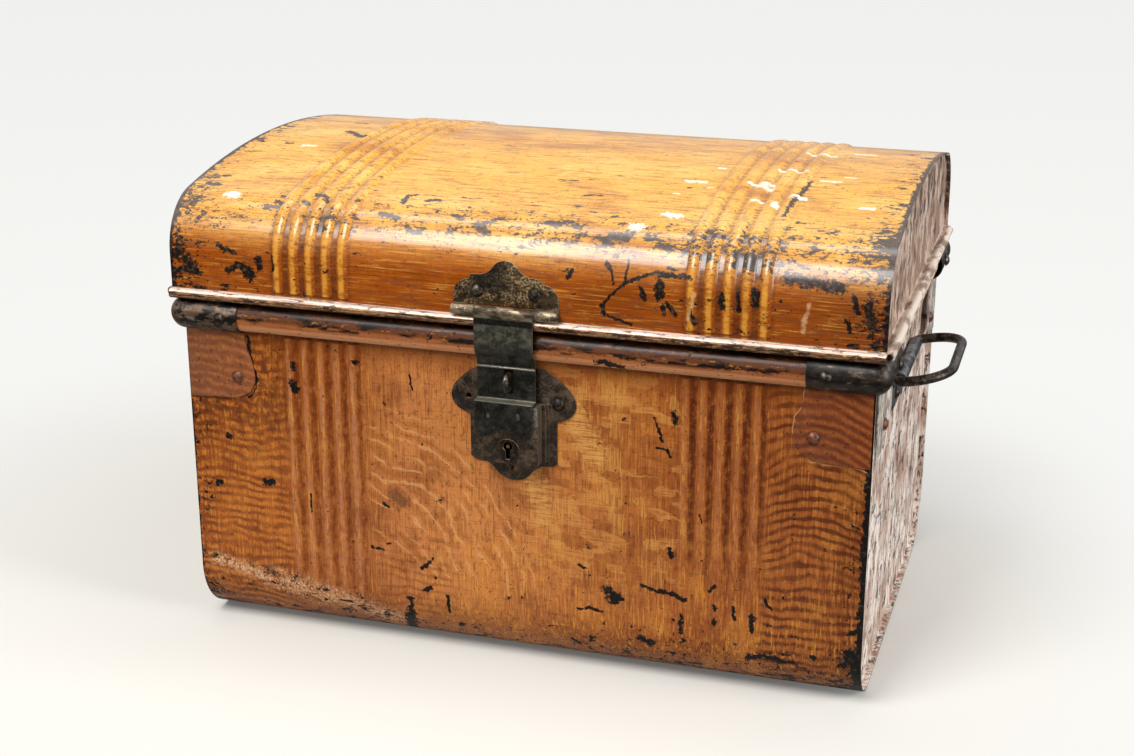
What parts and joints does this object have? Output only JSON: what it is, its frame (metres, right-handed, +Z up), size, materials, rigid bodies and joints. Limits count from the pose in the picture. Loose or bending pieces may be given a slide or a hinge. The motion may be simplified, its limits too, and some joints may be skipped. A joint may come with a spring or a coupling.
{
  "type": "dome top trunk",
  "caption": "Small sheet-steel travel trunk: low domed hinged lid, pressed ribs and bead, riveted corner brackets, hasp lock over a staple and a folding bail handle on each end.",
  "frame": {"origin": "centre of the flat underside of the body, on the floor", "axes": "+X along the length towards the right end, -Y towards the lock at the front, +Z up"},
  "size_m": [0.5616, 0.3756, 0.3551],
  "materials": {
    "grained_body_paint": "satin",
    "grained_end_paint": "satin",
    "grained_lid_paint": "satin",
    "lid_end_paint": "satin",
    "bracket_paint": "satin, worn bare on the ball",
    "edge_wire_steel": "dull",
    "rivet_steel": "worn",
    "lock_black": "worn japanning",
    "escutcheon_bronze": "dull",
    "lock_works_steel": "bare",
    "staple_steel": "worn",
    "hasp_plate_paint": "worn",
    "hasp_strap_steel": "blued, worn",
    "hasp_pin_steel": "worn",
    "handle_iron": "dull",
    "handle_plate_steel": "worn",
    "hinge_steel": "dull"
  },
  "bodies": {
    "body": {"body_wrap": "grained_body_paint", "body_end_right": "grained_end_paint", "body_end_left": "grained_end_paint", "bracket_front_right": "bracket_paint", "bracket_front_left": "bracket_paint", "bracket_back_right": "bracket_paint", "bracket_back_left": "bracket_paint", "bracket_face_rivets": "rivet_steel", "bracket_end_rivets": "rivet_steel", "lock_plate": "lock_black", "lock_rivet": "rivet_steel", "lock_case": "lock_black", "lock_escutcheon": "escutcheon_bronze", "lock_key_pin": "lock_works_steel", "lock_staple": "staple_steel", "handle_plate_right": "handle_plate_steel", "handle_plate_left": "handle_plate_steel", "handle_rivets": "rivet_steel", "hinge_body_leaf_right": "hinge_steel", "hinge_body_leaf_left": "hinge_steel", "hinge_pin_right": "hinge_steel", "hinge_pin_left": "hinge_steel", "hinge_body_rivets": "rivet_steel"},
    "lid": {"lid_wrap": "grained_lid_paint", "lid_end_right": "lid_end_paint", "lid_end_left": "lid_end_paint", "lid_edge_wires": "edge_wire_steel", "hasp_plate": "hasp_plate_paint", "hasp_rivets": "rivet_steel", "hasp_pin": "hasp_pin_steel", "hinge_lid_leaf_right": "hinge_steel", "hinge_lid_leaf_left": "hinge_steel", "hinge_lid_rivets": "rivet_steel"},
    "hasp": {"hasp_strap": "hasp_strap_steel", "hasp_catch_lugs": "hasp_strap_steel"},
    "handle_right": {"handle_right": "handle_iron"},
    "handle_left": {"handle_left": "handle_iron"},
    "bolt": {"lock_bolt": "lock_works_steel"}
  },
  "joints": [
    {"name": "lid_hinge", "type": "hinge", "parent": "body", "child": "lid", "pos_m": [0, 0.18445, 0.261], "axis": [-1, 0, 0], "range_deg": [0, 100]},
    {"name": "hasp_hinge", "type": "hinge", "parent": "lid", "child": "hasp", "pos_m": [-0.0024, -0.17935, 0.2754], "axis": [-1, 0, 0], "range_deg": [0, 140]},
    {"name": "handle_right_pivot", "type": "hinge", "parent": "body", "child": "handle_right", "pos_m": [0.2544, 0, 0.209], "axis": [0, -1, 0], "range_deg": [-101.5, 58.5]},
    {"name": "handle_left_pivot", "type": "hinge", "parent": "body", "child": "handle_left", "pos_m": [-0.2544, 0, 0.209], "axis": [0, 1, 0], "range_deg": [0, 160]},
    {"name": "lock_bolt_slide", "type": "slide", "parent": "body", "child": "bolt", "axis": [1, 0, 0], "range_m": [0, 0.006]}
  ]
}
